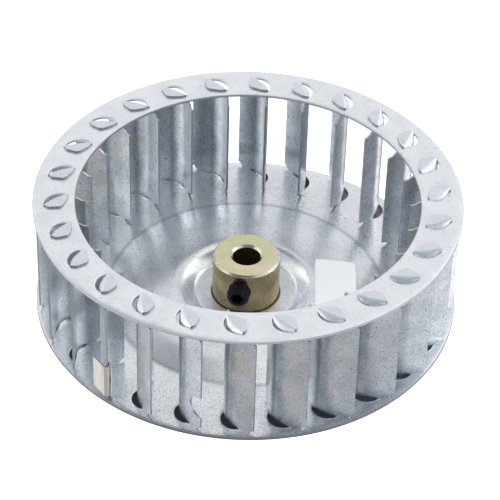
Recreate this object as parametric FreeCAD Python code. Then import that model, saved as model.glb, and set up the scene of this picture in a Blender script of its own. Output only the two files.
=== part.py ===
import FreeCAD, Part
import math
import os

os.makedirs("parts", exist_ok=True)

# Blower wheel: a forward-curved cage of folded sheet blades between an inlet ring and a
# dished back plate, on a turned hub with a radial set screw. Millimetres and degrees.
# The axis is +Z, the inlet is on top, and z = 0 is the underside of the folded tabs.

# Driving dimensions of the wheel
wheel_diameter = 119.0
wheel_width = 34.9  # over the outer faces of the ring and the back plate
ring_width = 11.7  # leaves the open eye of the inlet
sheet = 0.8  # ring and back plate
blade_sheet = 0.6
blade_count = 26
first_blade_angle = 98.4  # of the radial part of blade 1

# One blade's section: a radial inner part, a bend, and a leaning outer part
blade_setback = 0.9  # of its outer edge from the rim of the ring
blade_depth = 13.6  # radially, from the inner edge to the outer edge
blade_bend_depth = 9.2  # radially, from the start of the bend to the outer edge
blade_bend_radius = 6.9  # of the middle of the sheet
blade_bend_angle = 65.0  # from the radial inner part to the leaning outer part
blade_bend_flats = 6  # flats that stand for the bend, to keep the whole wheel light
inner_corner = (2.6, 1.1)  # length and height of the step cut at a blade's inner corners
outer_corner = (1.7, 1.3)  # the same at its outer corners
corner_flat = 0.4  # share of a step's length before it ramps up to the ring
press_height = 3.2  # over which each end is pressed straight for its tab
press_overrun = 0.2  # of the sloping press, as a share of that height

# A tab folds along the chord of the bend, and its leaf lies on the ring
fold_inset = 0.5  # of the fold's inner end, past the start of the bend
fold_overrun = 1.2  # of its outer end, past the bend and along the outer part
fold_margin = 0.25  # from the ends of the fold to the ends of the tab's root
tab_bend = 0.45  # taken off the outside of a tab's bend
tab_reach = 3.5  # of the leaf's tip, across from the fold
tab_flanks = [(1.0, 1.6), (3.7, 3.4), (5.0, 3.5), (7.6, 1.6)]  # along the fold, and across

# The slot for a tab: straight behind the fold, and an open half-moon before it
slot_clearance = 0.1
slot_bulge = 2.3  # of the half-moon, beyond the fold
slot_flats = 5  # round the half-moon

# Back plate: flat outside, then a low cone up to a rim, then down to the hub's flat seat
cone_gap = 5.3  # from the blades' inner edges to the foot of the cone
rim_radius = 18.0
rim_rise = 2.8
seat_radius = 14.6

# Hub: bar of 3/4 inch, bored 5/16 inch, staked under the plate
hub_diameter = 19.05
hub_height = 13.3  # above its seat
bore_diameter = 7.98
hub_chamfer = 0.6
bore_chamfer = 0.6
spigot_radius = 7.5
staked_radius = 9.0
spigot_clearance = 0.05

# Set screw: 1/4-20, socket of 1/8 inch
screw_diameter = 6.35
screw_length = 7.94
screw_proud = 3.3  # out of the hub
screw_height = 7.6  # of its axis, over the seat
screw_angle = -100.5
screw_chamfer = 0.7
screw_point_radius = 2.0
socket_flats = 3.2
socket_depth = 3.6
thread_clearance = 0.05

# Balancing: a bite out of the outer edge of one blade and a spring clip on another
notched_blade = 12
notch_radius = 3.95
notch_height = 8.3  # of its centre, over the outer face of the back plate
clipped_blade = 10
clip_sheet = 0.5
clip_height = 10.4
clip_low = 2.3  # over the outer face of the back plate
clip_leg = 4.6
clip_inner_width = 1.5
clip_grip_gap = 0.03
clip_edge_gap = 0.1

# Paper sticker on the cone of the plate, left blank
label_size = (11.6, 28.6)
label_centre = (25.6, -2.2)
label_corner = 0.9
label_sheet = 0.15
label_gap = 0.05
label_margin = 0.6  # kept clear of the cone's foot and rim

# Radii and levels that follow
wheel_radius = wheel_diameter / 2
eye_radius = wheel_radius - ring_width
blade_outer_radius = wheel_radius - blade_setback
blade_inner_radius = blade_outer_radius - blade_depth
blade_bend_start = blade_outer_radius - blade_bend_depth
cone_foot_radius = blade_inner_radius - cone_gap
plate_low = blade_sheet
plate_top = plate_low + sheet
ring_top = plate_low + wheel_width
ring_low = ring_top - sheet
tab_top = ring_top + blade_sheet
middle = plate_low + wheel_width / 2
seat_top = plate_top
pitch = 360.0 / blade_count
spare = 1.0  # by which cutting shapes run past what they cut
axis = FreeCAD.Vector(0, 0, 1)
centre = FreeCAD.Vector(0, 0, 0)


def point(x, y, z=0.0):
    return FreeCAD.Vector(x, y, z)


def polar(radius, angle, z=0.0):
    turn = math.radians(angle)
    return point(radius * math.cos(turn), radius * math.sin(turn), z)


def line(a, b):
    return Part.LineSegment(a, b).toShape()


def arc(a, b, c):
    return Part.Arc(a, b, c).toShape()


def disc(radius, low, high):
    return Part.makeCylinder(radius, high - low, point(0, 0, low))


def prism(corners, height):
    """A closed polygon of vectors, pushed along Z."""
    face = Part.Face(Part.makePolygon(corners + [corners[0]]))
    return face.extrude(axis * height)


def turned(profile):
    """A closed outline of (radius, height) pairs, turned round the axis."""
    corners = [point(radius, 0, height) for radius, height in profile]
    face = Part.Face(Part.makePolygon(corners + [corners[0]]))
    return face.revolve(centre, axis, 360)


def place(shape, angle):
    """The shape turned round the wheel's axis."""
    moved = shape.copy()
    moved.rotate(centre, axis, angle)
    return moved


def save(shape, name):
    solids = shape.removeSplitter().Solids
    result = solids[0] if len(solids) == 1 else Part.makeCompound(solids)
    result.exportStep("parts/" + name + ".step")


# The blade's section at angle 0: x is radial, y is tangential towards the hollow side
def bend_point(turn):
    """The point of the bend's middle line where the sheet has turned by the given angle."""
    a = math.radians(turn)
    return (
        blade_bend_start + blade_bend_radius * math.sin(a),
        blade_bend_radius * (1 - math.cos(a)),
    )


def outer_end():
    """Where the leaning outer part reaches the blade's outer radius."""
    x, y = bend_point(blade_bend_angle)
    lean = math.radians(blade_bend_angle)
    along = x * math.cos(lean) + y * math.sin(lean)
    inside = x * x + y * y - blade_outer_radius ** 2
    reach = -along + math.sqrt(along * along - inside)
    return (x + reach * math.cos(lean), y + reach * math.sin(lean))


def fold_line():
    """The fold's inner end, its length and its heading."""
    start = bend_point(math.degrees(fold_inset / blade_bend_radius))
    x, y = bend_point(blade_bend_angle)
    lean = math.radians(blade_bend_angle)
    x += fold_overrun * math.cos(lean) - start[0]
    y += fold_overrun * math.sin(lean) - start[1]
    return start, math.hypot(x, y), math.atan2(y, x)


outer_edge = outer_end()
fold_start, fold_length, fold_heading = fold_line()


def side(distance, z):
    """The section's corners at one side of the sheet, from the inner edge outwards."""
    path = [((blade_inner_radius, 0.0), 0.0)]
    for i in range(blade_bend_flats + 1):
        turn = blade_bend_angle * i / blade_bend_flats
        path.append((bend_point(turn), turn))
    path.append((outer_edge, blade_bend_angle))
    corners = []
    for (x, y), heading in path:
        normal = math.radians(heading + 90)
        x += distance * math.cos(normal)
        y += distance * math.sin(normal)
        corners.append(point(x, y, z))
    return corners


def fold_point(along, across, z=0.0):
    """A place given along the fold and across it, towards the hollow side."""
    x = fold_start[0] + along * math.cos(fold_heading) - across * math.sin(fold_heading)
    y = fold_start[1] + along * math.sin(fold_heading) + across * math.cos(fold_heading)
    return point(x, y, z)


def fold_prism(outline, start, length):
    """A closed outline of (across, height) pairs, pushed along the fold."""
    corners = [fold_point(start, across, z) for across, z in outline]
    face = Part.Face(Part.makePolygon(corners + [corners[0]]))
    return face.extrude(fold_point(length, 0) - fold_point(0, 0))


def folded_tab():
    """The tab of the inlet end: through the slot, round the bend and flat on the ring."""
    half = blade_sheet / 2
    outline = [
        (-half, ring_low),
        (-half, tab_top - tab_bend),
        (-half + tab_bend, tab_top),
        (tab_reach, tab_top),
        (tab_reach, ring_top),
        (half, ring_top),
        (half, ring_low),
    ]
    strip = fold_prism(outline, fold_margin, fold_length - 2 * fold_margin)
    low = ring_low - spare
    leaf = [(-spare, -half - spare), (0, half)] + tab_flanks
    leaf += [(fold_length, 2 * blade_sheet), (fold_length + spare, -half - spare)]
    trim = prism([fold_point(u, v, low) for u, v in leaf], tab_top + spare - low)
    return strip.common(trim)


def corner_cut(start, heading, size):
    """Cuts the step of one corner at the inlet end, from the blade's edge inwards."""
    length, drop = size
    outline = [(-spare, spare), (-spare, -drop), (corner_flat * length, -drop),
               (length, 0), (length, spare)]
    inwards = polar(1, heading)
    aside = polar(blade_sheet + spare, heading + 90)
    corners = []
    for along, up in outline:
        corners.append(point(*start, ring_low + up) + inwards * along - aside)
    face = Part.Face(Part.makePolygon(corners + [corners[0]]))
    return face.extrude(aside * 2)


def pressed_flat(curved):
    """The curved sheet with its inlet end pressed straight along a sloping plane."""
    half = blade_sheet / 2
    bend = bend_point(blade_bend_angle / 2)
    x, y = bend[0] - fold_start[0], bend[1] - fold_start[1]
    depth = x * math.sin(fold_heading) - y * math.cos(fold_heading)  # of the bend, at the fold
    foot = ring_low - press_height
    deep = foot - press_height * press_overrun
    over = ring_low + spare
    far = -depth - half - 2 * spare
    outside = [(-half, over), (-half, ring_low), (-half - depth * (1 + press_overrun), deep),
               (far, deep), (far, over)]
    slab = [(-half, ring_low), (half, ring_low), (half - depth, foot), (-half - depth, foot)]
    ends = [fold_point(fold_length, half, foot), fold_point(0, half, foot)]
    inside = prism(side(-half, foot)[1:-1] + ends, press_height)
    pressed = fold_prism(slab, -spare, fold_length + 2 * spare).common(inside)
    return curved.cut(fold_prism(outside, -2 * spare, fold_length + 4 * spare)).fuse(pressed)


def blade():
    outline = side(blade_sheet / 2, middle) + side(-blade_sheet / 2, middle)[::-1]
    half = prism(outline, ring_low - middle)
    half = pressed_flat(half).fuse(folded_tab())
    half = half.cut([
        corner_cut((blade_inner_radius, 0.0), 0.0, inner_corner),
        corner_cut(outer_edge, blade_bend_angle + 180, outer_corner),
    ])
    other = half.mirror(point(0, 0, middle), axis)
    return half.fuse(other).removeSplitter()


def outer_edge_frame():
    """Place and directions at the outer edge of the blade: outwards, and to the full side."""
    outwards = polar(1, blade_bend_angle)
    full_side = polar(1, blade_bend_angle - 90)
    return point(*outer_edge), outwards, full_side


def balance_notch():
    edge, outwards, full_side = outer_edge_frame()
    reach = blade_sheet + spare
    start = edge - full_side * reach + axis * (plate_low + notch_height)
    return Part.makeCylinder(notch_radius, 2 * reach, start, full_side)


def balance_clip():
    """A strip folded into a U over the blade's outer edge, its legs gripping the sheet."""
    edge, outwards, full_side = outer_edge_frame()
    low = plate_low + clip_low
    grip = blade_sheet / 2 + clip_grip_gap
    wide = clip_inner_width / 2
    bow = clip_edge_gap

    def at(out, aside):
        return edge + outwards * out + full_side * aside + axis * low

    inner = [at(-clip_leg, grip), at(bow - wide, wide), at(bow, 0),
             at(bow - wide, -wide), at(-clip_leg, -grip)]
    outer_wide = wide + clip_sheet
    outer_grip = grip + clip_sheet
    outer = [at(-clip_leg, outer_grip), at(bow - wide, outer_wide), at(bow + clip_sheet, 0),
             at(bow - wide, -outer_wide), at(-clip_leg, -outer_grip)]
    edges = [
        line(inner[0], inner[1]),
        arc(inner[1], inner[2], inner[3]),
        line(inner[3], inner[4]),
        line(inner[4], outer[4]),
        line(outer[4], outer[3]),
        arc(outer[3], outer[2], outer[1]),
        line(outer[1], outer[0]),
        line(outer[0], inner[0]),
    ]
    return Part.Face(Part.Wire(edges)).extrude(axis * clip_height)


def slot(low, high):
    """The hole for one tab: straight behind the fold, and a half-moon before it."""
    straight = blade_sheet / 2 + slot_clearance
    depth = straight + blade_sheet / 2 + slot_bulge
    half = fold_length / 2 + slot_clearance
    radius = (half * half + depth * depth) / (2 * depth)
    swing = math.asin(half / radius)
    corners = []
    for i in range(slot_flats + 1):
        a = swing * (2 * i / slot_flats - 1)
        along = fold_length / 2 + radius * math.sin(a)
        across = straight - depth + radius * (1 - math.cos(a))
        corners.append(fold_point(along, across, low))
    return prism(corners, high - low)


def slots(low, high):
    one = slot(low - spare, high + spare)
    return [place(one, first_blade_angle + pitch * i) for i in range(blade_count)]


def inlet_ring():
    ring = disc(wheel_radius, ring_low, ring_top)
    ring = ring.cut(disc(eye_radius, ring_low - spare, ring_top + spare))
    return ring.cut(slots(ring_low, ring_top))


def headings(before, here, after):
    """The headings of a path into and out of a corner, the second within half a turn."""
    a = math.atan2(here[1] - before[1], here[0] - before[0])
    b = math.atan2(after[1] - here[1], after[0] - here[0])
    return a, a + (b - a + math.pi) % (2 * math.pi) - math.pi


def dished_profile():
    """The plate's section: its top line, and the same line one sheet lower, square to it."""
    hole = spigot_radius + spigot_clearance
    top = [(wheel_radius, plate_top), (cone_foot_radius, plate_top),
           (rim_radius, plate_top + rim_rise), (seat_radius, seat_top), (hole, seat_top)]
    low = [(top[0][0], top[0][1] - sheet)]
    for before, here, after in zip(top, top[1:], top[2:]):
        a, b = headings(before, here, after)
        way = (a + b) / 2 + math.pi / 2
        reach = sheet / math.cos((b - a) / 2)
        low.append((here[0] + reach * math.cos(way), here[1] + reach * math.sin(way)))
    low.append((top[-1][0], top[-1][1] - sheet))
    return top + low[::-1]


def back_plate():
    return turned(dished_profile()).cut(slots(plate_low, plate_top))


def screw_frame():
    """Where the screw's axis leaves the hub's axis, and its direction outwards."""
    return point(0, 0, seat_top + screw_height), polar(1, screw_angle)


def hub():
    radius = hub_diameter / 2
    bore = bore_diameter / 2
    top = seat_top + hub_height
    body = turned([
        (bore, 0),
        (bore, top - bore_chamfer),
        (bore + bore_chamfer, top),
        (radius - hub_chamfer, top),
        (radius, top - hub_chamfer),
        (radius, seat_top),
        (spigot_radius, seat_top),
        (spigot_radius, plate_low),
        (staked_radius, plate_low),
        (staked_radius, 0),
    ])
    start, outwards = screw_frame()
    hole = screw_diameter / 2 + thread_clearance
    return body.cut(Part.makeCylinder(hole, radius + spare, start, outwards))


def set_screw():
    start, outwards = screw_frame()
    radius = screw_diameter / 2
    head = hub_diameter / 2 + screw_proud
    outline = [
        (0, 0),
        (screw_point_radius, 0),
        (radius, radius - screw_point_radius),
        (radius, screw_length - screw_chamfer),
        (radius - screw_chamfer, screw_length),
        (0, screw_length),
    ]
    body = turned(outline)
    across = socket_flats / math.sqrt(3)
    corners = [polar(across, 60 * i, screw_length - socket_depth) for i in range(6)]
    body = body.cut(prism(corners, socket_depth + spare))
    body.Placement = FreeCAD.Placement(
        start + outwards * (head - screw_length),
        FreeCAD.Rotation(axis, outwards),
    )
    return body


def label():
    """A thin patch that follows the cone, cut from a conical skin by a rounded rectangle."""
    slope = rim_rise / (cone_foot_radius - rim_radius)
    inner = rim_radius + label_margin
    outer = cone_foot_radius - label_margin

    def height(radius):
        return plate_top + (cone_foot_radius - radius) * slope

    low = label_gap
    high = label_gap + label_sheet
    skin = place(turned([
        (inner, height(inner) + low),
        (outer, height(outer) + low),
        (outer, height(outer) + high),
        (inner, height(inner) + high),
    ]), 180)
    width, length = label_size
    corner = point(label_centre[0] - width / 2, label_centre[1] - length / 2)
    block = Part.makeBox(width, length, middle, corner)
    upright = [e for e in block.Edges if abs(e.tangentAt(e.FirstParameter).z) > 0.9]
    return block.makeChamfer(label_corner, upright).common(skin)


plain_blade = blade()
for number in range(1, blade_count + 1):
    angle = first_blade_angle + pitch * (number - 1)
    shape = plain_blade
    if number == notched_blade:
        shape = plain_blade.cut(balance_notch())
    save(place(shape, angle), "blade_%02d" % number)

clip_angle = first_blade_angle + pitch * (clipped_blade - 1)
save(place(balance_clip(), clip_angle), "balance_clip")
save(inlet_ring(), "inlet_ring")
save(back_plate(), "back_plate")
save(hub(), "hub")
save(set_screw(), "set_screw")
save(label(), "label")
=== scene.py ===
import math

import bmesh
import bpy
import numpy as np
from mathutils import Matrix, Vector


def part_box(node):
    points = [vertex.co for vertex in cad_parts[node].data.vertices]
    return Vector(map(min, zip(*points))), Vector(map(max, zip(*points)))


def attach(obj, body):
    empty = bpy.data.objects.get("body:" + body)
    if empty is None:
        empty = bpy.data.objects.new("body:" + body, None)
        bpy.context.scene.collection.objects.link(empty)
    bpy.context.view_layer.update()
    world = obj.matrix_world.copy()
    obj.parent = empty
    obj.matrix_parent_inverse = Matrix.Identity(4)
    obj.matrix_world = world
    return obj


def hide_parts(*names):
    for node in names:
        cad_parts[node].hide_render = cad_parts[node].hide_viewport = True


# A blower wheel of galvanised sheet, seen from above at the front. The wheel's axis is +Z and the
# inlet is on top. Shapes are worked out in millimetres and stored in metres.

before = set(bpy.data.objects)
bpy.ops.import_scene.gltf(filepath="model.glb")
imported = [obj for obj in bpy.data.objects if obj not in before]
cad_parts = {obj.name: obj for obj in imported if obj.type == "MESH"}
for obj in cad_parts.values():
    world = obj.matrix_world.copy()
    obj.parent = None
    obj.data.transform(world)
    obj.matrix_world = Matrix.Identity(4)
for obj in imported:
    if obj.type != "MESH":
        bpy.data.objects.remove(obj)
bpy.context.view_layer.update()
millimetre = 0.001


def nodeHeights(name):
    # the lowest and the highest z of a node, in millimetres
    low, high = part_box(name)
    return low[2] / millimetre, high[2] / millimetre


ringLow, ringTop = nodeHeights("inlet_ring")
plateLow = nodeHeights("back_plate")[0]
hubTop = nodeHeights("hub")[1]

wheel = {
    "radius": 59.5,
    "bladeCount": 26,
    "firstAngle": 98.4,  # of the radial part of blade 1, in degrees
    "sheet": 0.8,  # of ring and plate
    "edge": 0.14,  # rounding of punched edges
    "arcSteps": 12,  # round the rim, in one pitch
    "sideSteps": 7,  # across the rim
}
plateTop = plateLow + wheel["sheet"]
pitch = 360 / wheel["bladeCount"]


# Mesh code: every piece is grids of points with quads between neighbours

mergeDistance = 0.003  # points closer than this are one


def gridQuads(rows, cols, wrap=False):
    # point (i, j) of a grid has number i * cols + j, and wrap joins the last column to the first
    i = np.arange(rows - 1)[:, None]
    j = np.arange(cols if wrap else cols - 1)[None, :]
    k = (j + 1) % cols
    quads = [i * cols + j, i * cols + k, (i + 1) * cols + k, (i + 1) * cols + j]
    return np.stack(np.broadcast_arrays(*quads), -1).reshape(-1, 4)


def turnedBy(points, degrees):
    # points turned round the wheel's axis: x' = x cos a - y sin a, y' = x sin a + y cos a
    a = math.radians(degrees)
    turn = np.array([[math.cos(a), -math.sin(a), 0], [math.sin(a), math.cos(a), 0], [0, 0, 1]])
    return points @ turn.T


def polar(radius, angle):
    return radius * np.cos(angle), radius * np.sin(angle)


def revolved(radii, heights, angles):
    # a profile carried round the axis: row i is the circle of radius r_i at height z_i
    radii, heights = np.asarray(radii, float)[:, None], np.asarray(heights, float)[:, None]
    x, y = polar(radii, np.asarray(angles, float)[None, :])
    return np.stack([x, y, np.broadcast_to(heights, x.shape)], -1).reshape(-1, 3)


def vertexNormals(points, quads):
    # sum of the quads' normals, each the cross product of the quad's diagonals
    p = points[quads]
    face = np.cross(p[:, 2] - p[:, 0], p[:, 3] - p[:, 1])
    total = np.zeros_like(points)
    for corner in range(4):
        np.add.at(total, quads[:, corner], face)
    return total / np.maximum(np.linalg.norm(total, axis=1), 1e-12)[:, None]


def thickened(points, quads, thickness):
    # a sheet: its middle surface moved half its thickness each way, with a rim on its open edges
    shift = vertexNormals(points, quads) * thickness / 2
    count = len(points)
    start, end = quads.reshape(-1), np.roll(quads, -1, axis=1).reshape(-1)
    openEdge = ~np.isin(start * count + end, end * count + start)
    a, b = start[openEdge], end[openEdge]
    rim = np.stack([b, a, a + count, b + count], -1)
    skins = np.vstack([quads, quads[:, ::-1] + count])
    return np.vstack([points + shift, points - shift]), skins, rim


def makePiece(name, patches, finishes, sharp=40, outwards=True):
    # patches are (points, faces, number of their finish); points that meet are merged
    points, faces, numbers, count = [], [], [], 0
    for patchPoints, patchFaces, number in patches:
        points.append(patchPoints)
        faces.append(patchFaces + count)
        numbers.append(np.full(len(patchFaces), number))
        count += len(patchPoints)
    mesh = bpy.data.meshes.new(name)
    mesh.from_pydata(np.vstack(points) * millimetre, [], np.vstack(faces).tolist())
    mesh.polygons.foreach_set("material_index", np.concatenate(numbers).astype(np.int32))
    for finish in finishes:
        mesh.materials.append(finish)
    work = bmesh.new()
    work.from_mesh(mesh)
    bmesh.ops.remove_doubles(work, verts=work.verts, dist=mergeDistance * millimetre)
    loose = [v for v in work.verts if not v.link_faces]
    bmesh.ops.delete(work, geom=loose, context="VERTS")
    if outwards:
        bmesh.ops.recalc_face_normals(work, faces=work.faces)
    work.to_mesh(mesh)
    work.free()
    mesh.shade_smooth()
    mesh.set_sharp_from_angle(angle=math.radians(sharp))
    piece = bpy.data.objects.new(name, mesh)
    bpy.context.scene.collection.objects.link(piece)
    return piece


def handIn(piece, node, body="wheel"):
    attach(piece, body)
    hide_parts(node)


# Materials: shader maths as expressions on sockets

class Wire:
    # a socket of a material that can be added, multiplied and so on
    def __init__(self, finish, socket):
        self.finish = finish
        self.socket = socket

    def maths(self, operation, *others):
        inputs = dict(enumerate([self, *others]))
        return self.finish.add("ShaderNodeMath", {"operation": operation}, inputs)

    def __add__(self, other):
        return self.maths("ADD", other)

    def __sub__(self, other):
        return self.maths("SUBTRACT", other)

    def __mul__(self, other):
        return self.maths("MULTIPLY", other)

    def __rsub__(self, other):
        return self.finish.add("ShaderNodeMath", {"operation": "SUBTRACT"}, {0: other, 1: self})

    def between(self, low, high):
        # 0 below low, 1 above high, and a smooth step from one to the other
        inputs = {"Value": self, "From Min": low, "From Max": high}
        settings = {"interpolation_type": "SMOOTHSTEP"}
        return self.finish.add("ShaderNodeMapRange", settings, inputs)

    def within(self, low, high, edge):
        # 1 between low and high, with soft edges inside them
        return self.between(low, low + edge) * (1 - self.between(high - edge, high))


class Finish:
    # one node tree, of a new material or of the world
    def __init__(self, name, owner=None):
        self.owner = owner or bpy.data.materials.new(name)
        self.owner.use_nodes = True
        self.tree = self.owner.node_tree

    def add(self, kind, settings, inputs, output=0):
        node = self.tree.nodes.new(kind)
        for name, value in settings.items():
            setattr(node, name, value)
        for name, value in inputs.items():
            self.plug(node.inputs[name], value)
        return Wire(self, node.outputs[output])

    def plug(self, socket, value):
        if isinstance(value, Wire):
            self.tree.links.new(value.socket, socket)
        elif socket.type == "RGBA" and len(value) == 3:
            socket.default_value = (*value, 1)
        else:
            socket.default_value = value

    def place(self):
        return self.add("ShaderNodeTexCoord", {}, {}, "Object")

    def part(self, vector, number):
        # x, y or z of a vector, by its number
        return self.add("ShaderNodeSeparateXYZ", {}, {"Vector": vector}, number)

    def stretched(self, scale):
        # the piece's own place in metres, times a scale for each axis
        return self.add("ShaderNodeMapping", {}, {"Vector": self.place(), "Scale": scale})

    def noise(self, vector, size, detail=3, roughness=0.55, seed=0.0):
        # clouds about size millimetres wide, from 0 to 1
        settings = {"noise_dimensions": "4D"}
        inputs = {"Vector": vector, "W": seed, "Scale": 1 / (size * millimetre),
                  "Detail": detail, "Roughness": roughness}
        return self.add("ShaderNodeTexNoise", settings, inputs)

    def mixed(self, factor, a, b):
        settings = {"data_type": "RGBA"}
        return self.add("ShaderNodeMix", settings, {0: factor, 6: a, 7: b}, 2)

    def shade(self, **sockets):
        # the surface's own settings, which end a material
        shader = self.tree.nodes["Principled BSDF"]
        for name, value in sockets.items():
            self.plug(shader.inputs[name.replace("_", " ")], value)
        return self.owner

    def bump(self, height, distance):
        inputs = {"Height": height, "Distance": distance * millimetre}
        return self.add("ShaderNodeBump", {}, inputs)


def zincCoat(name, seed, light, dark):
    # zinc on sheet steel: its colour, with what its grain adds to the roughness and the relief
    finish = Finish(name)
    place = finish.place()
    clouds = finish.noise(place, 6.0, detail=4, seed=seed)
    grain = finish.noise(place, 0.5, roughness=0.7, seed=seed + 3).between(0.3, 0.7)
    specks = finish.noise(place, 0.65, detail=2, seed=seed + 7).between(0.60, 0.68)
    tone = clouds.between(0.3, 0.7) * 0.35 + grain * 0.65 + specks * 0.6 - 0.15
    rough = clouds * 0.06 + grain * 0.06 + specks * 0.1
    return finish, place, finish.mixed(tone, light, dark), rough, grain + clouds * 2.0


# where the sheets are worn, stained, dirty or speckled, or carry painted shade or a painted
# warm reflection, in millimetres
wearAndShade = {
    "scratches": (20.0, 50.0),  # x over which those on the ring begin
    "crease": (38.3, 40.5),  # radii of the painted shade along the plate's crease
    "creaseEdge": 0.9,
    "front": (-42.0, -26.0),  # y over which the darker speckle at the plate's front ends
    "foot": (9.7, 10.2),  # radii over which the dirt round the hub ends
    "seat": (13.0, 14.6),  # radii over which the dull seat ends
    "stain": (10.0, 26.0),  # heights over which the blades' stains and painted warm reflection begin
    "tab": (34.0, 35.2),  # heights over which a blade turns into its tab
}


def ringZinc():
    # bright sheet, with faint scratches at the right
    light, dark = (0.89, 0.905, 0.92), (0.68, 0.70, 0.73)
    finish, place, colour, rough, relief = zincCoat("ringZinc", 2.0, light, dark)
    x = finish.part(place, 0) * (1 / millimetre)
    marks = finish.noise(finish.stretched((0.12, 1.0, 1.0)), 0.6, detail=2, seed=31.0)
    mask = marks.between(0.66, 0.71) * x.between(*wearAndShade["scratches"]) * 0.5
    colour = finish.mixed(mask, colour, (0.42, 0.43, 0.46))
    return finish.shade(Base_Color=colour, Metallic=0.92, Roughness=rough + 0.24,
                        Normal=finish.bump(relief, 0.003))


def plateZinc():
    # the same sheet, with a painted shade along the crease, darker and speckled at the front,
    # dull on the seat and dirty round the hub's foot
    light, dark = (0.90, 0.915, 0.935), (0.62, 0.64, 0.67)
    finish, place, colour, rough, relief = zincCoat("plateZinc", 11.0, light, dark)
    flat = finish.stretched((1.0, 1.0, 0.0))
    radius = finish.add("ShaderNodeVectorMath", {"operation": "LENGTH"}, {0: flat}, 1)
    radius = radius * (1 / millimetre)
    # painted shade: the plate is darkened in a ring along the crease at the cone's foot
    paintedCreaseShade = radius.within(*wearAndShade["crease"], wearAndShade["creaseEdge"])
    colour = finish.mixed(paintedCreaseShade * 0.6, colour, (0.40, 0.43, 0.47))
    y = finish.part(place, 1) * (1 / millimetre)
    # darker speckle over the front of the plate
    frontSpeckle = finish.noise(place, 0.45, roughness=0.7, seed=17.0).between(0.46, 0.62)
    mask = frontSpeckle * (1 - y.between(*wearAndShade["front"])) * 0.5
    colour = finish.mixed(mask, colour, (0.36, 0.36, 0.38))
    foot = 1 - radius.between(*wearAndShade["foot"])
    colour = finish.mixed(foot, colour, (0.12, 0.10, 0.08))
    seat = 1 - radius.between(*wearAndShade["seat"])
    return finish.shade(Base_Color=colour, Metallic=0.85, Roughness=rough + seat * 0.18 + 0.19,
                        Normal=finish.bump(relief, 0.001))


def bladeZinc(number):
    # thinner sheet, darker and grainier, with brown stains near the ring that also carry a painted
    # warm reflection, and smoother tabs
    light, dark = (0.85, 0.88, 0.91), (0.35, 0.39, 0.43)
    seed = 20.0 + 5 * number
    finish, place, colour, rough, relief = zincCoat(f"bladeZinc{number}", seed, light, dark)
    height = finish.part(place, 2) * (1 / millimetre)
    patches = finish.noise(place, 7.0, seed=seed + 12).between(0.50, 0.66)
    tab = height.between(*wearAndShade["tab"])
    # the warm patches are stains and a painted reflection of a warm table, heavier higher up
    mask = patches * height.between(*wearAndShade["stain"]) * (1 - tab) * 0.6
    colour = finish.mixed(mask, colour, (0.66, 0.58, 0.45))
    colour = finish.mixed(tab * 0.75, colour, (0.74, 0.76, 0.79))
    return finish.shade(Base_Color=colour, Metallic=1.0, Roughness=rough + tab * 0.14 + 0.25,
                        Normal=finish.bump(relief, 0.003))


def shearedRim(name, light, dark, metallic=0.9, dullness=0.40):
    # a sheared edge, duller and darker than the faces, with a little drag along the cut
    finish = Finish(name)
    drag = finish.noise(finish.stretched((1.0, 1.0, 0.25)), 0.35)
    return finish.shade(Base_Color=finish.mixed(drag, light, dark), Metallic=metallic,
                        Roughness=drag * 0.15 + dullness)


def yellowZinc(sideTop):
    # chromated bar: olive and gold on the sides, a painted highlight on the chamfer just over the
    # side's top, paler and pinker on the face
    finish = Finish("yellowZinc")
    place = finish.place()
    drift = finish.noise(place, 6.0, detail=2, seed=1.0)
    stain = finish.noise(finish.stretched((1.0, 1.0, 0.35)), 2.2, seed=4.0)
    grain = finish.noise(finish.stretched((1.0, 1.0, 3.0)), 0.6, seed=6.0)
    gold = finish.mixed(drift.between(0.42, 0.62), (0.50, 0.37, 0.21), (0.33, 0.34, 0.13))
    side = finish.mixed(stain.between(0.45, 0.7), gold, (0.40, 0.25, 0.17))
    face = finish.mixed(drift.between(0.40, 0.62), (0.74, 0.64, 0.49), (0.62, 0.61, 0.37))
    height = finish.part(place, 2) * (1 / millimetre)
    # painted highlight: the chamfer over the side's top is painted pale
    tone = finish.mixed(height.between(sideTop + 0.4, sideTop + 0.6), (0.82, 0.75, 0.60), face)
    tone = finish.mixed(height.between(sideTop - 0.1, sideTop), side, tone)
    tone = finish.mixed(grain.between(0.4, 0.8) * 0.2, tone, (0.72, 0.66, 0.52))
    return finish.shade(Base_Color=tone, Metallic=1.0, Roughness=grain * 0.14 + 0.20,
                        Normal=finish.bump(grain, 0.003))


def plainBore():
    # the same bar where it is drilled and tapped, with marks that run round it
    finish = Finish("plainBore")
    swirl = finish.noise(finish.stretched((0.4, 0.4, 6.0)), 1.0)
    return finish.shade(Base_Color=finish.mixed(swirl, (0.55, 0.47, 0.28), (0.30, 0.26, 0.15)),
                        Metallic=1.0, Roughness=swirl * 0.2 + 0.25)


def blackOxide():
    finish = Finish("blackOxide")
    grain = finish.noise(finish.place(), 0.5)
    return finish.shade(Base_Color=finish.mixed(grain, (0.005, 0.005, 0.007), (0.020, 0.020, 0.026)),
                        Metallic=0.6, Roughness=grain * 0.2 + 0.32)


def springStrip():
    finish = Finish("springStrip")
    streak = finish.noise(finish.stretched((1.0, 1.0, 0.15)), 0.7)
    return finish.shade(Base_Color=finish.mixed(streak, (0.93, 0.89, 0.82), (0.64, 0.58, 0.50)),
                        Metallic=1.0, Roughness=streak * 0.2 + 0.16)


def whitePaperPaintedGlow():
    finish = Finish("whitePaperPaintedGlow")
    fibre = finish.noise(finish.place(), 0.5, detail=4)
    # painted glow: the paper gives off a little light of its own
    return finish.shade(Base_Color=finish.mixed(fibre, (0.97, 0.97, 0.98), (0.92, 0.92, 0.94)),
                        Roughness=fibre * 0.2 + 0.4, Normal=finish.bump(fibre, 0.01),
                        Emission_Color=(1, 1, 1), Emission_Strength=0.30)


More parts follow.
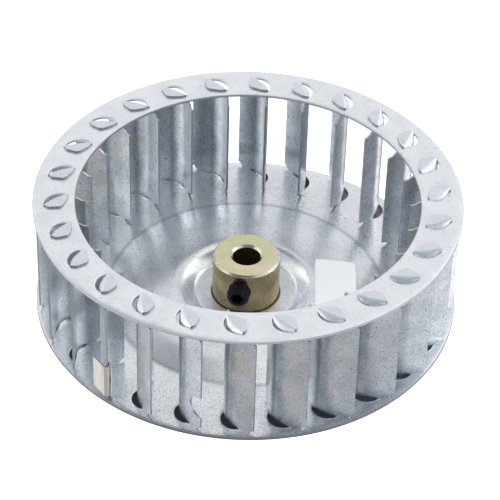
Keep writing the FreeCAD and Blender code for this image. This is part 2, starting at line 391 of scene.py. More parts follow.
ringFace, plateFace = ringZinc(), plateZinc()
bladeFaces = [bladeZinc(number) for number in range(3)]
edgeMetal = shearedRim("cutEdge", (0.56, 0.57, 0.59), (0.38, 0.39, 0.42), 1.0, 0.30)
ringRim = shearedRim("ringRim", (0.60, 0.60, 0.64), (0.46, 0.46, 0.50))
# a sheared edge, with painted shade: darker than the ring's, for the shade where it meets the floor
plateRimPaintedShade = shearedRim("plateRimPaintedShade", (0.31, 0.30, 0.34), (0.20, 0.20, 0.23))
# a sheared edge, with painted shade: darker than the blades' cut edge, for the dark outlines round
# the tabs
tabRimPaintedShade = shearedRim("tabRimPaintedShade", (0.44, 0.45, 0.49), (0.31, 0.32, 0.35))
print("materials made")


# Blades: one strip, pressed straight at its ends, with a tab folded over each end

blade = {
    "sheet": 0.6,
    "innerRadius": 45.0,
    "bendStart": 49.4,  # radius at which the radial part turns into the bend
    "bendRadius": 6.9,
    "bendAngle": 65.0,
    "outerRadius": 58.6,
    "foldInset": 0.5,  # of the fold's inner end, past the start of the bend
    "foldOverrun": 1.2,  # of its outer end, past the bend
    "foldMargin": 0.15,  # between the ends of the fold and the flanks of a tab
    # pressed ends: distances from the tab between which the bulge grows, and its share at first
    "topPress": (0.05, 0.95, 0.15),
    "lowPress": (0.05, 1.0, 0.15),
    "innerStep": (2.6, 1.1),  # length and height of the steps at the corners
    "outerStep": (1.7, 1.3),
    "stepFlat": 0.3,  # share of a step's length that is cut back in full
    "columns": (7, 3, 24, 4, 6),  # on the inner step, before the tab, on it, past it, on the step
    "rows": (0, .1, .2, .3, .4, .5, .6, .7, .78, .86, 1, 1.3, 1.8, 2.5, 4, 7, 11),  # from each end
    # corners of a tab: along the fold, and how far out
    "tabOutline": [(0.1, 0.2), (1.0, 1.6), (3.7, 3.4), (5.0, 3.5), (7.6, 1.6), (7.95, 0.2)],
    "tabSoftness": 0.22,
    "tabBend": 0.42,  # radius of the middle of the sheet
    "gap": 0.01,  # between a tab and the sheet that it lies on
    "notched": 12,  # number of the blade with the round bite
    "notchRadius": 3.95,
    "notchHeight": 8.3,  # of its centre over the underside of the plate
    "notchMargin": 0.15,
}
lean = math.radians(blade["bendAngle"])
biteCentre = plateLow + blade["notchHeight"]
middle = (ringLow + plateTop) / 2  # of the blades' height between plate and ring
halfHeight = ringLow - middle
tabRise = wheel["sheet"] + blade["sheet"] / 2 + blade["gap"]  # of a tab over the blade's end


def bladeSection(s):
    # distance s along the middle of the sheet: straight out, an arc, then straight at its angle
    radius = blade["bendRadius"]
    flat = blade["bendStart"] - blade["innerRadius"]
    turn = np.clip((s - flat) / radius, 0, lean)
    past = np.maximum(s - flat - radius * lean, 0)
    x = blade["innerRadius"] + np.minimum(s, flat) + radius * np.sin(turn)
    y = radius * (1 - np.cos(turn))
    return x + past * math.cos(lean), y + past * math.sin(lean)


def sectionLengths():
    # where the bend starts and ends along the section, and the section's whole length
    start = blade["bendStart"] - blade["innerRadius"]
    end = start + blade["bendRadius"] * lean
    x, y = bladeSection(end)
    along = x * math.cos(lean) + y * math.sin(lean)
    inside = x * x + y * y - blade["outerRadius"] ** 2
    return start, end, end - along + math.sqrt(along * along - inside)


bendFrom, bendTo, sectionLength = sectionLengths()
foldX, foldY = bladeSection(bendFrom + blade["foldInset"])
farX, farY = bladeSection(bendTo + blade["foldOverrun"])
foldHeading = math.atan2(farY - foldY, farX - foldX)
foldLength = math.hypot(farX - foldX, farY - foldY)


def toFold(x, y):
    # along the fold, and across it towards the hollow side
    along = (x - foldX) * math.cos(foldHeading) + (y - foldY) * math.sin(foldHeading)
    across = (y - foldY) * math.cos(foldHeading) - (x - foldX) * math.sin(foldHeading)
    return along, across


def fromFold(along, across):
    x = foldX + along * math.cos(foldHeading) - across * math.sin(foldHeading)
    y = foldY + along * math.sin(foldHeading) + across * math.cos(foldHeading)
    return x, y


bendSamples = np.linspace(bendFrom - 1, bendTo + 2, 400)
bendAlong, bendAcross = toFold(*bladeSection(bendSamples))


def stepAt(s):
    # how far the sheet's end is cut back: full at the edge, then an S-shaped ramp to nothing
    total = np.zeros_like(s)
    for distance, (length, height) in ((s, blade["innerStep"]),
                                       (sectionLength - s, blade["outerStep"])):
        share = np.clip((distance / length - blade["stepFlat"]) / (1 - blade["stepFlat"]), 0, 1)
        total = total + height * (1 - share * share * (3 - 2 * share))
    return total


def tabReach(along):
    # outline of a tab: straight flanks between its corners, averaged over a short stretch
    corners = np.array(blade["tabOutline"])
    shifts = np.linspace(-1, 1, 9) * blade["tabSoftness"]
    return sum(np.interp(along + d, corners[:, 0], corners[:, 1]) for d in shifts) / 9


def pressShare(distance, press):
    # share of the bulge at a distance from the tab: rest + (1 - rest) * t
    low, high, rest = press
    t = np.clip((distance - low) / (high - low), 0, 1)
    return rest + (1 - rest) * t


def bladeColumns():
    # places along the section, and whether each lies on the tabs
    ends = [blade["foldMargin"], foldLength - blade["foldMargin"]]
    tabFrom, tabTo = np.interp(ends, bendAlong, bendSamples)
    stepTo, stepFrom = blade["innerStep"][0], sectionLength - blade["outerStep"][0]
    stops = [0, stepTo, tabFrom, tabTo, stepFrom, sectionLength]
    stretches = [np.linspace(start, end, count, endpoint=False)
                 for start, end, count in zip(stops, stops[1:], blade["columns"])]
    s = np.append(np.concatenate(stretches), sectionLength)
    return s, (s > tabFrom - 1e-6) & (s < tabTo + 1e-6)


def bladeRows(notched):
    # heights of the rows between plate and ring: at a bite, evenly spaced round its circle
    fromEnd = np.array([*blade["rows"], halfHeight])
    z = np.concatenate([middle - halfHeight + fromEnd, middle + halfHeight - fromEnd[-2::-1]])
    if notched:
        bite = biteCentre - blade["notchRadius"] * np.cos(np.radians(np.linspace(0, 180, 25)))
        clear = np.abs(z - biteCentre) > blade["notchRadius"] + blade["notchMargin"]
        z = np.sort(np.concatenate([z[clear], bite]))
    return z


def foldedTabs(along, bulge):
    # the tab under the plate and the tab over the ring, as rows from the blade to the tip: out
    # through the slot, round the bend and flat, or only part of the way round where it is short
    radius = blade["tabBend"]
    rise = tabRise - radius
    arc = radius * math.pi / 2
    flat = tabReach(along[-1]) - radius
    length = np.concatenate([np.linspace(0, 1, 5)[1:, None] * rise + flat * 0,
                             rise + np.linspace(0, 1, 7)[1:, None] * arc + flat * 0,
                             rise + arc + np.linspace(0, 1, 7)[1:, None] * flat])
    turn = np.clip((length - rise) / radius, 0, math.pi / 2)
    aside = radius * (1 - np.cos(turn)) + np.maximum(length - rise - arc, 0)
    up = np.minimum(length, rise) + radius * np.sin(turn)
    tabs = []
    for sign, start, row, press in ((-1, plateTop, 0, "lowPress"), (1, ringLow, -1, "topPress")):
        share = pressShare(tabRise - np.minimum(up, tabRise), blade[press])
        x, y = fromFold(np.broadcast_to(along[row], aside.shape), aside + bulge[row] * share)
        tabs.append(np.stack([x, y, start + sign * up], -1))
    return tabs


def bladePoints(notched):
    s, isTab = bladeColumns()
    z = bladeRows(notched)
    grid = np.broadcast_to(z[:, None], (len(z), len(s)))
    share = (grid - middle) / halfHeight
    height = grid - np.sign(share) * stepAt(s)[None, :] * np.abs(share)
    distance = np.broadcast_to(s[None, :], height.shape)
    if notched:
        # a round bite: the outer part of each row is shortened by the circle's reach
        bite = np.sqrt(np.maximum(blade["notchRadius"] ** 2 - (grid - biteCentre) ** 2, 0))
        distance = distance - np.maximum(distance - bendTo, 0) / (sectionLength - bendTo) * bite
    along, across = toFold(*bladeSection(distance))
    bulge = np.minimum(across, 0)
    fromTab = halfHeight - np.abs(height - middle) + tabRise
    low, top = (pressShare(fromTab, blade[press]) for press in ("lowPress", "topPress"))
    across = np.maximum(across, 0) + bulge * np.where(height > middle, top, low)
    main = np.stack([*fromFold(along, across), height], -1)
    lower, upper = foldedTabs(along, bulge)
    rows = np.concatenate([lower[::-1], main, upper])
    quads = gridQuads(len(rows), len(s))
    row, col = quads[:, 0] // len(s), quads[:, 0] % len(s)
    inMain = (row >= len(lower)) & (row < len(lower) + len(z) - 1)
    return rows.reshape(-1, 3), quads[inMain | (isTab[:-1] & isTab[1:])[col]]


def makeBlades():
    thickness = blade["sheet"] - 2 * blade["gap"]
    shapes = [thickened(*bladePoints(notched), thickness) for notched in (False, True)]
    for number in range(1, wheel["bladeCount"] + 1):
        points, skins, rim = shapes[number == blade["notched"]]
        turned = turnedBy(points, wheel["firstAngle"] + pitch * (number - 1))
        finishes = [bladeFaces[number % len(bladeFaces)], edgeMetal, tabRimPaintedShade]
        height = turned[rim][..., 2].mean(axis=1)
        isFolded = (height > ringTop) | (height < plateLow)
        patches = [(turned, skins, 0), (turned, rim[~isFolded], 1), (turned, rim[isFolded], 2)]
        piece = makePiece(f"foldedBlade{number:02d}", patches, finishes)
        handIn(piece, f"blade_{number:02d}")


makeBlades()
print("blades made")


# Rim panels: a sector of sheet between its edges and the half-moon slot of one tab

slot = {
    "clearance": 0.1,
    "ringBulge": 2.3,  # of the half-moon beyond the fold
    "plateBulge": 2.7,
    "hollowGap": 0.3,  # between a blade's hollow face and the plate's top edge
    "centre": -1.7,  # across the fold: a panel's points lie on lines from there
    "rows": (1, 0.55, 0.2),  # shares of the way from the slot's edge to the panel's
}
panelCentre = np.array(fromFold(foldLength / 2, slot["centre"]))
roundedCorner = [(1, 0), (0.3, 0.3), (0, 1)]  # aside and up, in parts of the edge's radius


def slotOutline(bulge, follows, count=1600):
    # the half-moon: an arc on the full side of the fold, closed along the blade or straight
    straight = blade["sheet"] / 2 + slot["clearance"]
    depth = straight + blade["sheet"] / 2 + bulge
    centre = foldLength / 2
    half = centre + slot["clearance"]
    radius = (half * half + depth * depth) / (2 * depth)
    swing = math.asin(half / radius)
    a = np.linspace(-swing, swing, count)
    along = centre + radius * np.sin(a)
    across = straight - depth + radius * (1 - np.cos(a))
    back = centre + half * np.linspace(1, -1, count)
    closing = np.full(count, straight)
    if follows:
        face = np.interp(back, bendAlong, bendAcross) + blade["sheet"] / 2 + slot["hollowGap"]
        closing = np.minimum(straight, face)
    corners = np.array([[centre - half, straight], [centre + half, straight]])
    outline = np.concatenate([along, back]), np.concatenate([across, closing])
    return np.stack(fromFold(*outline), -1), np.stack(fromFold(*corners.T), -1)


def sectorLoop(inner, outer):
    # the sector's edge, anticlockwise: outer arc, side, inner arc, side
    arcs, sides = wheel["arcSteps"], wheel["sideSteps"]
    centre = math.degrees(math.atan2(*panelCentre[::-1]))
    turn = np.radians(centre + pitch * np.linspace(-0.5, 0.5, arcs + 1))
    radius = np.linspace(outer, inner, sides + 1)
    stretches = [(outer, turn[:-1]), (radius[:-1], turn[-1]), (inner, turn[:0:-1]),
                 (radius[:0:-1], turn[0])]
    return np.concatenate([np.stack(polar(*stretch), -1) for stretch in stretches]), turn


def slotMouth(loop, bulge, follows):
    # the point of the slot's edge on the line to each point of the loop, and the way out
    outline, corners = slotOutline(bulge, follows)
    heading = np.arctan2(*(outline - panelCentre).T[::-1])
    order = np.argsort(heading)
    distance = np.linalg.norm(outline - panelCentre, axis=1)
    aim = np.arctan2(*(loop - panelCentre).T[::-1])
    reach = np.interp(aim, heading[order], distance[order], period=2 * math.pi)
    mouth = panelCentre + np.stack(polar(reach, aim), -1)
    for corner in corners:
        turnTo = math.atan2(*(corner - panelCentre)[::-1])
        nearest = np.argmin(np.abs(np.angle(np.exp(1j * (aim - turnTo)))))
        mouth[nearest] = corner
    away = loop - mouth
    return mouth, away / np.linalg.norm(away, axis=1)[:, None]


def rimPanel(inner, outer, low, top, bulge, follows):
    # rows run from the loop below, in to the slot, up its wall, and out to the loop above
    loop, turn = sectorLoop(inner, outer)
    edge = wheel["edge"]
    below, above = [], []
    for rows, height, inwards, curved in ((below, low, 1, False), (above, top, -1, follows)):
        mouth, away = slotMouth(loop, bulge, curved)
        start = mouth + away * edge
        rows += [(start + (loop - start) * share, height) for share in slot["rows"]]
        rows += [(mouth + away * (edge * aside), height + inwards * (edge * up))
                 for aside, up in roundedCorner]
    rows = below + above[::-1]
    points = np.concatenate([np.column_stack([xy, np.full(len(xy), z)]) for xy, z in rows])
    return points, gridQuads(len(rows), len(loop), wrap=True), turn


def rimEdge(radius, outwards, low, top, turn):
    # the rounded edge of the sheet at one radius, for an outer edge (1) or an inner one (-1)
    aside, up = np.array(roundedCorner).T * wheel["edge"]
    radii = radius - outwards * np.append(aside, aside[::-1])
    heights = np.append(low + up, top - up[::-1])
    return revolved(radii, heights, turn), gridQuads(len(radii), len(turn))


def panelPatches(inner, outer, low, top, edges, bulge, follows):
    # the panels of all the blades, with the angles of the points on the edges of the first
    patches = []
    points, quads, turn = rimPanel(inner, outer, low, top, bulge, follows)
    for number in range(wheel["bladeCount"]):
        angle = wheel["firstAngle"] + pitch * number
        patches.append((turnedBy(points, angle), quads, 0))
        for radius, outwards in edges:
            strip, stripQuads = rimEdge(radius, outwards, low, top, turn)
            patches.append((turnedBy(strip, angle), stripQuads, 1))
    return patches, turn + math.radians(wheel["firstAngle"])


# Inlet ring: slotted panels between two rounded edges

ring = {"innerRadius": 47.8}


def makeRing():
    edge = wheel["edge"]
    edges = [(ring["innerRadius"], -1), (wheel["radius"], 1)]
    patches = panelPatches(ring["innerRadius"] + edge, wheel["radius"] - edge, ringLow, ringTop,
                           edges, slot["ringBulge"], False)[0]
    handIn(makePiece("slottedRing", patches, [ringFace, ringRim]), "inlet_ring")


makeRing()
print("ring made")


# Back plate: a slotted rim panel outside, and a turned dish inside

plate = {
    "panelRadius": 43.2,
    "footRadius": 39.7,
    "bandRadius": 31.4,  # where the cone turns from steeper outside to gentler inside
    "bandRise": 1.45,
    "crease": (39.4, 0.03, 0.7),  # radius, depth and half width of the line at the cone's foot
    "rimRadius": 18.0,
    "rimRise": 2.8,
    "seatRadius": 14.6,
    "holeRadius": 7.55,
    "footSoftness": 0.55,
    "bandSoftness": 0.5,
    "rimSoftness": 1.2,
    "seatSoftness": 0.22,
    # stretches of the dish's profile, inwards: from, to and number of rows
    "stretches": [(42.2, 37.5, 14), (36.2, 33.8, 3), (33.2, 29.6, 12), (28.4, 22.4, 6),
                  (21.6, 13.2, 38)],
    "seatRows": (12.0, 5),  # radius of the first, and their number
}


def plateHeight(radius):
    # height of the top: the slope is a step at each bend, softened, and summed inwards, less a
    # groove d * exp(-((r - r0) / w) ** 2)
    r = np.linspace(wheel["radius"], plate["holeRadius"], 4000)

    def inside(bend):
        # 1 inside the bend's radius and 0 outside it, softened
        past = (r - plate[bend + "Radius"]) / plate[bend + "Softness"]
        return 1 / (1 + np.exp(np.clip(past, -40, 40)))

    band = plate["bandRise"] / (plate["footRadius"] - plate["bandRadius"])
    cone = (plate["rimRise"] - plate["bandRise"]) / (plate["bandRadius"] - plate["rimRadius"])
    drop = plate["rimRise"] / (plate["rimRadius"] - plate["seatRadius"])
    changes = {"foot": band, "band": cone - band, "rim": -cone - drop, "seat": drop}
    slope = sum(change * inside(bend) for bend, change in changes.items())
    height = plateTop + np.cumsum(slope) * (r[0] - r[1])
    radius0, depth, width = plate["crease"]
    height = height - depth * np.exp(-((r - radius0) / width) ** 2)
    return np.interp(radius, r[::-1], height[::-1])


def dishProfile():
    # the top from outside to the hole, the hole's wall, and the underside back outwards
    edge, hole = wheel["edge"], plate["holeRadius"]
    seatFrom, seatCount = plate["seatRows"]
    stretches = [np.linspace(*stretch) for stretch in plate["stretches"]]
    seat = np.linspace(seatFrom, hole + edge, seatCount)
    r = np.concatenate([[plate["panelRadius"]], *stretches, seat])
    z = plateHeight(r)
    slope = np.gradient(z, r)
    normal = np.stack([-slope, np.ones_like(r)], -1) / np.sqrt(1 + slope * slope)[:, None]
    normal[0] = [0, 1]
    under = np.stack([r, z], -1) - normal * wheel["sheet"]
    wall = np.array([[hole, z[-1] - edge], [hole, z[-1] - wheel["sheet"] + edge]])
    return np.vstack([np.stack([r, z], -1), wall, under[::-1]])


def makePlate():
    edge = wheel["edge"]
    patches, turn = panelPatches(plate["panelRadius"], wheel["radius"] - edge, plateLow, plateTop,
                                 [(wheel["radius"], 1)], slot["plateBulge"], True)
    profile = dishProfile()
    angles = np.concatenate([turn[:-1] + math.radians(pitch * k)
                             for k in range(wheel["bladeCount"])])
    dish = revolved(profile[:, 0], profile[:, 1], angles)
    patches.append((dish, gridQuads(len(profile), len(angles), wrap=True), 0))
    handIn(makePiece("dishedPlate", patches, [plateFace, plateRimPaintedShade], sharp=50), "back_plate")


makePlate()
print("plate made")


# Hub: turned bar with a radial tapped hole, and its set screw

hub = {
    "low": 0.0,  # where the frame starts, level with the underside of the tabs
    "radius": 9.525,
    "boreRadius": 3.99,
    "chamfer": 0.6,
    "boreChamfer": 0.6,
    "chamferRows": (0, 0.12, 0.25, 0.75, 0.88, 1),  # shares of a chamfer
    "chamferSwell": (0, 0.02, 0, 0, 0.02, 0),  # of the outer chamfer, which rounds its two edges
    "spigotRadius": 7.5,
    "stakedRadius": 9.0,
    "stakedEdge": 0.15,
    "underRadius": 6.0,  # of a row of points on the underside
    "screwAngle": -100.5,
    "screwHeight": 7.6,  # over the plate's seat
    "holeRadius": 3.215,
    "panelHalf": 34.0,  # half the width of the holed panel, in degrees
    "borePanelHalf": 68.0,
    "holeSteps": 72,
    "holeRows": (0, 0.08, 0.2, 0.4, 0.65, 1),  # shares of the way from the hole to the panel's edge
}
screw = {
    "radius": 3.17,
    "rootRadius": 2.52,
    "length": 7.94,
    "proud": 3.3,
    "thread": 1.27,  # for a turn
    "flank": 0.4,  # share of a turn over which the thread rises or falls
    "rootFlat": 0.08,  # height that the root's flat cuts off, as a share
    "chamfer": 0.7,
    "pointRadius": 2.0,
    "socket": 3.2,  # across its flats
    "socketBevel": (0.18, 0.12),  # outwards and down
    "socketRow": 1.6,  # depth of a row of points on its walls
    "socketDepth": 3.6,
    "drilledTip": [(0.5, 0.5), (0, 0.9)],  # shares of the socket's radius, and depths under it
}


def holedWall(radius, halfDegrees, low, high, centre):
    # part of a cylinder's wall between a rectangle and a round hole, as a closed ring of points
    steps = hub["holeSteps"]
    quarter = steps // 4
    t = np.radians(np.arange(steps) * 360 / steps + 45)  # from the upper corner, anticlockwise
    mouth = np.stack([np.arcsin(hub["holeRadius"] * np.cos(t) / radius),
                      centre + hub["holeRadius"] * np.sin(t)], -1)
    half = math.radians(halfDegrees)
    corners = np.array([[half, high], [-half, high], [-half, low], [half, low]])
    sides = np.roll(corners, -1, axis=0) - corners
    shares = np.arange(quarter)[:, None] / quarter
    frameLoop = np.vstack([corner + side * shares for corner, side in zip(corners, sides)])
    rows = [mouth + (frameLoop - mouth) * share for share in hub["holeRows"]]
    grid = np.concatenate(rows)
    aim = grid[:, 0] + math.radians(hub["screwAngle"])
    points = np.column_stack([*polar(radius, aim), grid[:, 1]])
    return points, gridQuads(len(rows), steps, wrap=True)


def hubAngles(halfDegrees):
    # angles round the hub that meet the panel's upper side, starting at the panel's left edge
    quarter = hub["holeSteps"] // 4
    half = math.radians(halfDegrees)
    front = np.linspace(-half, half, quarter + 1)
    rest = np.linspace(half, 2 * math.pi - half, 55)[1:-1]
    return np.concatenate([front, rest]) + math.radians(hub["screwAngle"])


def makeHub():
    seat, low, count = plateTop, hub["low"], hub["holeSteps"]
    centre = seat + hub["screwHeight"]
    outer, bore = hub["radius"], hub["boreRadius"]
    outerAngles, boreAngles = hubAngles(hub["panelHalf"]), hubAngles(hub["borePanelHalf"])
    quarter = count // 4
    wallTop, boreTop = hubTop - hub["chamfer"], hubTop - hub["boreChamfer"]
    wall, wallQuads = holedWall(outer, hub["panelHalf"], seat, wallTop, centre)
    inner, innerQuads = holedWall(bore, hub["borePanelHalf"], low, boreTop, centre)
    mouths = np.vstack([wall[:count], inner[:count]])
    patches = [(wall, wallQuads, 0), (inner, innerQuads, 1),
               (mouths, gridQuads(2, count, wrap=True), 1)]
    for radius, angles, base, high, finish in ((outer, outerAngles, seat, wallTop, 0),
                                               (bore, boreAngles, low, boreTop, 1)):
        backAngles = np.append(angles[quarter:], angles[0] + 2 * math.pi)
        heights = np.linspace(base, high, quarter + 1)
        back = revolved(np.full(quarter + 1, radius), heights, backAngles)
        patches.append((back, gridQuads(quarter + 1, len(backAngles)), finish))
    # top: two chamfers and the flat between them. Rows are (way in, radius, height)
    chamfer, boreChamfer = hub["chamfer"], hub["boreChamfer"]
    top = [(0, outer - chamfer * s + swell, wallTop + chamfer * s)
           for s, swell in zip(hub["chamferRows"], hub["chamferSwell"])]
    top += [(f, outer - chamfer + (bore + boreChamfer - outer + chamfer) * f, hubTop)
            for f in np.linspace(0, 1, 7)[1:-1]]
    top += [(1, bore + boreChamfer * s, boreTop + boreChamfer * s)
            for s in hub["chamferRows"][::-1]]
    # underside: the spigot through the plate, and the collar that is staked under it
    spigot, staked, edge = hub["spigotRadius"], hub["stakedRadius"], hub["stakedEdge"]
    under = [(0, outer, seat), (0, spigot, seat), (0, spigot, plateLow), (0, staked, plateLow),
             (0, staked, low + edge), (0, staked - edge, low), (0.5, hub["underRadius"], low),
             (1, bore, low)]
    for rows in (top, under):
        points = np.concatenate([revolved([r], [z], outerAngles * (1 - f) + boreAngles * f)
                                 for f, r, z in rows])
        patches.append((points, gridQuads(len(rows), len(outerAngles), wrap=True), 0))
    piece = makePiece("turnedHub", patches, [yellowZinc(wallTop), plainBore()], sharp=28)
    handIn(piece, "hub")


def screwRadius(along, turn):
    # the thread: r = root + depth * saw(along / pitch - turn), held in by both ends
    phase = (along / screw["thread"] - turn / (2 * math.pi)) % 1
    depth = screw["radius"] - screw["rootRadius"]
    rise = (0.5 - np.abs(phase - 0.5)) / screw["flank"]
    tooth = np.clip(rise - screw["rootFlat"], 0, 1)
    thread = screw["rootRadius"] + depth * tooth
    tip = screw["pointRadius"] + along
    head = screw["radius"] - screw["chamfer"] + screw["length"] - along
    return np.minimum(thread, np.minimum(tip, head))


def makeScrew():
    turn = np.linspace(0, 2 * math.pi, 73)[:-1]
    point, face = screw["pointRadius"], screw["length"]
    rows = [(0, 0), (point * 0.5, 0), (point, 0)]
    rows += [(screwRadius(s, turn), s) for s in np.linspace(0, face, 96)[1:-1]]
    # the socket: r = flat / cos(angle from the nearest flat), down to a drilled cone
    fromFlat = (turn % (math.pi / 3)) - math.pi / 6
    hexagon = screw["socket"] / 2 / np.cos(fromFlat)
    bevel, down = screw["socketBevel"]
    deep = face - screw["socketDepth"]
    rows += [(screw["radius"] - screw["chamfer"], face), (hexagon + bevel, face),
             (hexagon, face - down), (hexagon, face - screw["socketRow"]), (hexagon, deep)]
    rows += [(hexagon * share, deep - depth) for share, depth in screw["drilledTip"]]
    grid = [np.broadcast_arrays(*polar(radius, turn), height) for radius, height in rows]
    points = np.stack(grid).transpose(0, 2, 1).reshape(-1, 3)
    # its own z lies along the tapped hole, outwards
    aim = math.radians(hub["screwAngle"])
    out = np.array([math.cos(aim), math.sin(aim), 0])
    side = np.array([-math.sin(aim), math.cos(aim), 0])
    up = np.array([0, 0, 1.0])
    start = hub["radius"] + screw["proud"] - face
    placed = points @ np.stack([side, up, out]) + out * start
    placed[:, 2] += plateTop + hub["screwHeight"]
    piece = makePiece("setScrew", [(placed, gridQuads(len(rows), len(turn), wrap=True), 0)],
                      [blackOxide()], sharp=34)
    handIn(piece, "set_screw", "set_screw")


makeHub()
makeScrew()
print("hub and set screw made")


# Balance clip: a strip folded over the outer edge of one blade

clip = {
    "blade": 10,  # its number
    "sheet": 0.5,
    "height": 10.4,
    "low": 2.3,  # over the underside of the plate
    "leg": 4.6,
    "legPower": 0.8,  # the leg that grips closes in as its share of the way to this power
    "innerWidth": 1.5,
    "grip": 0.03,  # between that leg and the blade's face
    "edgeGap": 0.1,  # between the bend and the blade's edge
    "splay": 1.5,  # how far the free leg springs away at its end
}


def makeClip():
    edgeX, edgeY = bladeSection(sectionLength)
    half = clip["innerWidth"] / 2 + clip["sheet"] / 2
    grip = blade["sheet"] / 2 + clip["grip"] + clip["sheet"] / 2
    bow = clip["edgeGap"] + clip["sheet"] / 2
    swing = np.radians(np.linspace(0, 180, 17))
    arcOut = bow - half + half * np.sin(swing)
    arcAside = half * np.cos(swing)
    leg = np.linspace(0, 1, 7)[:-1]
    legOut = -clip["leg"] + (clip["leg"] + bow - half) * leg
    legAside = grip + (half - grip) * leg ** clip["legPower"]
    out = np.concatenate([legOut, arcOut, legOut[::-1]])
    free = half + clip["splay"] * (1 - leg)
    aside = np.concatenate([free, arcAside, -legAside[::-1]])
    z = plateLow + clip["low"] + clip["height"] * np.linspace(0, 1, 12)
    x = edgeX + out * math.cos(lean) + aside * math.sin(lean)
    y = edgeY + out * math.sin(lean) - aside * math.cos(lean)
    x, y, height = np.broadcast_arrays(x[None, :], y[None, :], z[:, None])
    points = np.stack([x, y, height], -1).reshape(-1, 3)
    shell, skins, rim = thickened(points, gridQuads(len(z), len(out)), clip["sheet"])
    turned = turnedBy(shell, wheel["firstAngle"] + pitch * (clip["blade"] - 1))
    piece = makePiece("balanceClip", [(turned, skins, 0), (turned, rim, 1)],
                      [springStrip(), edgeMetal], sharp=35)
    handIn(piece, "balance_clip")


makeClip()
print("balance clip made")


# Sticker: blank paper that follows the cone

sticker = {
    "size": (11.6, 28.6),
    "centre": (25.6, -2.2),
    "corner": 1.0,
    "sheet": 0.12,
    "gap": 0.05,
    "columns": 25,
    "rows": 49,
}


def makeSticker():
    width, length = sticker["size"]
    columns, rows = sticker["columns"], sticker["rows"]
    u = np.sin(np.linspace(-1, 1, columns) * math.pi / 2)[None, :]
    v = np.sin(np.linspace(-1, 1, rows) * math.pi / 2)[:, None]
    # a rounded rectangle: each row is drawn in near the ends by the corner's circle
    corner = sticker["corner"]
    y = v * length / 2
    past = np.maximum(np.abs(y) - (length / 2 - corner), 0)
    halfWidth = width / 2 - corner + np.sqrt(np.maximum(corner ** 2 - past ** 2, 0))
    x = sticker["centre"][0] + u * halfWidth
    y = sticker["centre"][1] + np.broadcast_to(y, x.shape)
    lift = sticker["gap"] + sticker["sheet"] / 2
    z = plateHeight(np.hypot(x, y)) + lift
    points = np.stack([x, y, z], -1).reshape(-1, 3)
    shell, skins, rim = thickened(points, gridQuads(rows, columns), sticker["sheet"])
    piece = makePiece("blankSticker", [(shell, skins, 0), (shell, rim, 0)], [whitePaperPaintedGlow()])
    handIn(piece, "label")


makeSticker()
print("sticker made")


# Stage: pale floor, soft studio light and the camera of the photograph

floor = {"far": 3000.0, "shade": 59.1, "steps": 180}
shadow = {
    "right": (15.0, 45.0),  # x over which it pales
    "back": (15.0, 45.0),  # y over which it pales further, at the right
    "backRight": (15.0, 35.0),
}
camera = {
    "sensor": 36,
    "lens": 168.33,
    "elevation": 40.048,  # in degrees, as is the roll
    "roll": 1.708,
    "distance": 0.66788,  # in metres, as are the rest
    "aside": 0.00126,
    "above": 0.01217,
    "low": 0.0006,
}


def paleFloor():
    finish = Finish("paleFloor")
    return finish.shade(Base_Color=(0.8, 0.8, 0.8), Roughness=0.9, Emission_Color=(1, 1, 1),
                        Emission_Strength=1.0)


def contactShade():
    # the floor under the wheel: darkest at the left, palest at the back on the right
    finish = Finish("contactShade")
    x, y = [finish.part(finish.place(), k) * (1 / millimetre) for k in (0, 1)]
    tone = finish.mixed(x.between(*shadow["right"]), (0.022, 0.022, 0.028), (0.20, 0.20, 0.22))
    mask = y.between(*shadow["back"]) * x.between(*shadow["backRight"])
    tone = finish.mixed(mask, tone, (0.40, 0.40, 0.42))
    return finish.shade(Base_Color=tone, Roughness=0.9, Emission_Color=(0.9, 0.95, 1.0),
                        Emission_Strength=0.018)


def makeFloor():
    # a glowing floor with a hole, and the dark contact shadow that fills the hole
    turn = np.radians(np.arange(floor["steps"]) * 360 / floor["steps"])
    hole, far = floor["shade"], floor["far"]
    for name, radii, finish in (("floor", (hole, far), paleFloor()),
                                ("floorShade", (0, hole), contactShade())):
        points = revolved(radii, (0, 0), turn)
        patch = (points, gridQuads(2, len(turn), wrap=True), 0)
        piece = makePiece(name, [patch], [finish], outwards=False)
        piece.visible_glossy = name == "floorShade"  # for the floor, the metal mirrors the studio


studio = {
    "strength": 0.8,
    "backdrop": (1.12, 1.12, 1.15),
    "front": (0.75, 0.82, 0.92),
    "frontFrom": (-0.2, 0.6),  # how far forwards it starts, and where it is full
    "ceiling": (0.10, 0.12, 0.15),
    "ceilingRise": (48, 56),  # degrees over which it takes over from the walls
    "zenith": (0.90, 1.02, 1.10),
    "zenithRise": (68, 76),
    "table": (0.90, 0.92, 0.95),  # as the metal mirrors it
    "tableRise": (-24, -16),
    "edge": 8,  # softness of the boxes, in degrees
}
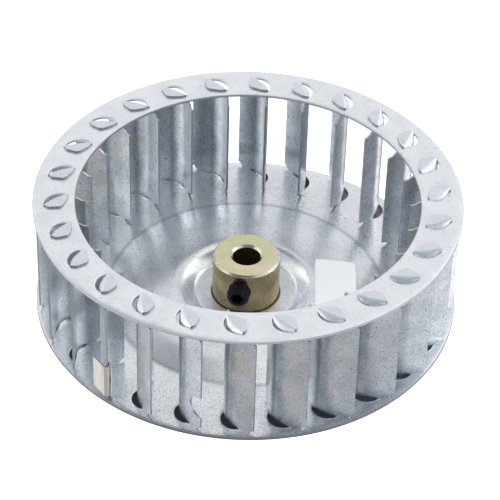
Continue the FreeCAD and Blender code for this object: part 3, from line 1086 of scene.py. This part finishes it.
# softboxes: degrees from the back towards the right and degrees over the table, each from and to,
# and the colour. Where they overlap, the later one wins
softBoxes = [
    ((-192, -86), (-98, -16), (0.62, 0.61, 0.61)),
    ((-104, -72), (-64, -16), (1.22, 1.25, 1.30)),
    ((-80, -50), (-64, -16), (1.15, 1.18, 1.22)),
    ((-60, -38), (-64, -16), (0.36, 0.40, 0.44)),
    ((-46, 11), (-64, -16), (1.35, 1.42, 1.48)),
    ((4, 50), (-64, -16), (0.36, 0.40, 0.44)),
    ((44, 94), (-64, -16), (1.75, 1.70, 1.75)),
    ((86, 150), (-64, -16), (0.99, 1.02, 1.05)),
    ((142, 192), (-64, -16), (0.66, 0.66, 0.68)),
    ((-48, 64), (-24, 14), (1.25, 1.50, 1.80)),
    ((56, 154), (-24, 14), (1.15, 1.15, 1.35)),
    ((146, 192), (-24, 34), (1.05, 1.35, 1.70)),
    ((-64, -28), (-24, 14), (1.50, 1.54, 1.62)),
    ((-192, -114), (-24, 34), (1.50, 1.60, 1.72)),
    ((-192, -114), (10, 36), (1.05, 1.10, 1.20)),
    ((-124, -56), (-24, 16), (1.90, 1.98, 2.05)),
    ((-124, -56), (6, 34), (3.60, 3.60, 3.50)),
    ((-124, -56), (20, 56), (1.45, 1.45, 1.45)),
    ((108, 192), (52, 78), (0.60, 0.62, 0.66)),
    ((-192, -108), (52, 78), (0.60, 0.62, 0.66)),
    ((-22, 14), (35, 54), (1.22, 1.24, 1.27)),
    ((-62, -26), (26, 50), (2.20, 2.20, 2.18)),
    ((26, 60), (9, 36), (1.50, 1.60, 1.65)),
    ((56, 122), (9, 36), (3.60, 3.55, 3.60)),
    ((116, 152), (9, 36), (0.75, 0.82, 1.00)),
    ((26, 64), (29, 56), (2.95, 2.92, 2.95)),
    ((57, 94), (29, 55), (1.48, 1.50, 1.45)),
    ((86, 152), (29, 55), (0.95, 1.05, 1.10)),
    ((146, 192), (29, 55), (0.05, 0.06, 0.08)),
    ((-192, -116), (29, 55), (0.05, 0.06, 0.08)),
    ((-13, 49), (49, 73), (1.50, 1.50, 1.46)),
    ((-94, -42), (50, 73), (0.82, 0.96, 1.10)),
]


def makeWorld():
    # white table and backdrop, dimmer front and ceiling, and softboxes all round
    finish = Finish("studio", bpy.data.worlds.new("studio"))
    bpy.context.scene.world = finish.owner
    place = finish.add("ShaderNodeTexCoord", {}, {}, "Generated")
    x, y, z = [finish.part(place, k) for k in range(3)]
    turn = x.maths("ARCTAN2", y).maths("DEGREES")
    rise = z.maths("ARCSINE").maths("DEGREES")
    forwards = (y * -1.0).between(*studio["frontFrom"])
    colour = finish.mixed(forwards, studio["backdrop"], studio["front"])
    colour = finish.mixed(rise.between(*studio["ceilingRise"]), colour, studio["ceiling"])
    colour = finish.mixed(rise.between(*studio["zenithRise"]), colour, studio["zenith"])
    colour = finish.mixed(rise.between(*studio["tableRise"]), studio["table"], colour)
    edge = studio["edge"]
    for across, upwards, glow in softBoxes:
        mask = turn.within(*across, edge) * rise.within(*upwards, edge)
        colour = finish.mixed(mask, colour, glow)
    shader = finish.tree.nodes["Background"]
    finish.plug(shader.inputs["Color"], colour)
    shader.inputs["Strength"].default_value = studio["strength"]


def makeCamera():
    data = bpy.data.cameras.new("camera")
    data.sensor_width = camera["sensor"]
    data.lens = camera["lens"]
    lens = bpy.data.objects.new("camera", data)
    bpy.context.scene.collection.objects.link(lens)
    up, roll = math.radians(camera["elevation"]), math.radians(camera["roll"])
    back = np.array([0, -math.cos(up), math.sin(up)])
    level, rise = np.array([1.0, 0, 0]), np.array([0, math.sin(up), math.cos(up)])
    right = math.cos(roll) * level + math.sin(roll) * rise
    top = math.cos(roll) * rise - math.sin(roll) * level
    place = back * camera["distance"] + right * camera["aside"] + top * camera["above"]
    place[2] += camera["low"]
    matrix = np.eye(4)
    matrix[:3] = np.stack([right, top, back, place], -1)
    lens.matrix_world = Matrix(matrix.tolist())
    bpy.context.scene.camera = lens


makeFloor()
makeWorld()
makeCamera()
bpy.context.scene.view_settings.view_transform = "Standard"
print("stage made")
